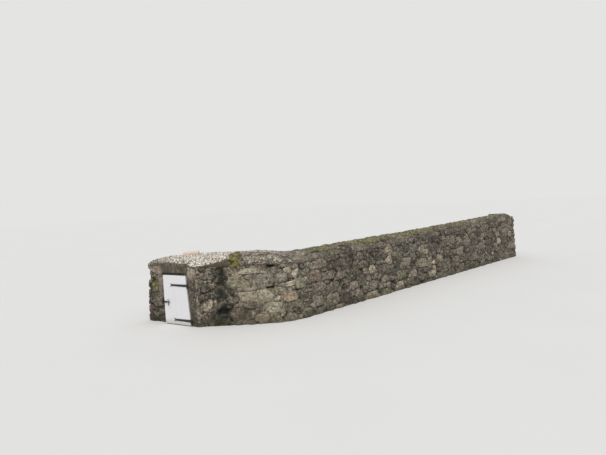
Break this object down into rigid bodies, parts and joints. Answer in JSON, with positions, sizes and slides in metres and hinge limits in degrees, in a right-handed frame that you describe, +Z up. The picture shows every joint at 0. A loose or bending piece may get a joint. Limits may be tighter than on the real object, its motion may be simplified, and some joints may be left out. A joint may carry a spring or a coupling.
{
  "type": "garden wall",
  "caption": "Low rubble-stone garden wall with a rounded mortar capping, a bend, and an end pier holding a niche closed by a small painted door on strap hinges.",
  "frame": {"origin": "ground level, on the centreline of the straight run, near its middle", "axes": "+X along the wall to its far end, +Y to its back, +Z up"},
  "size_m": [8.3942, 1.8608, 1.0193],
  "materials": {
    "rubble": "rough field stone in lime mortar",
    "render": "trowelled grey-brown render",
    "capping": "weathered lime mortar",
    "tile": "unglazed",
    "door_paint": "white gloss paint on board",
    "iron": "black painted forged iron"
  },
  "bodies": {
    "wall": {"pier_hinge_jamb": "rubble", "pier_latch_jamb": "rubble", "pier_back_mass": "rubble", "door_lintel": "render", "niche_sill": "render", "niche_render_hinge_side": "render", "niche_render_latch_side": "render", "niche_render_back": "render", "niche_render_ceiling": "render", "door_surround": "render", "wall_bend_inner": "rubble", "wall_bend_outer": "rubble", "wall_run_1": "rubble", "wall_run_2": "rubble", "wall_run_3": "rubble", "wall_run_4": "rubble", "cap_end": "capping", "cap_bend_inner": "capping", "cap_bend_outer": "capping", "cap_run_1": "capping", "cap_run_2": "capping", "cap_run_3": "capping", "cap_run_4": "capping", "ridge_tile": "tile", "pintle_upper": "iron", "pintle_lower": "iron", "bolt_keeper": "iron"},
    "door": {"door_leaf": "door_paint", "door_ledge_upper": "door_paint", "door_ledge_lower": "door_paint", "strap_upper": "iron", "strap_lower": "iron", "bolt_guides": "iron"},
    "bolt": {"slide_bolt": "iron"}
  },
  "joints": [
    {"name": "door_hinge", "type": "hinge", "parent": "wall", "child": "door", "pos_m": [-4.00594, 0.62023, 0.072], "axis": [-0.0181, 0.0674, 0.9976], "range_deg": [0, 150]},
    {"name": "bolt_slide", "type": "slide", "parent": "door", "child": "bolt", "axis": [-0.2588, 0.9659, 0], "range_m": [0, 0.036]}
  ]
}
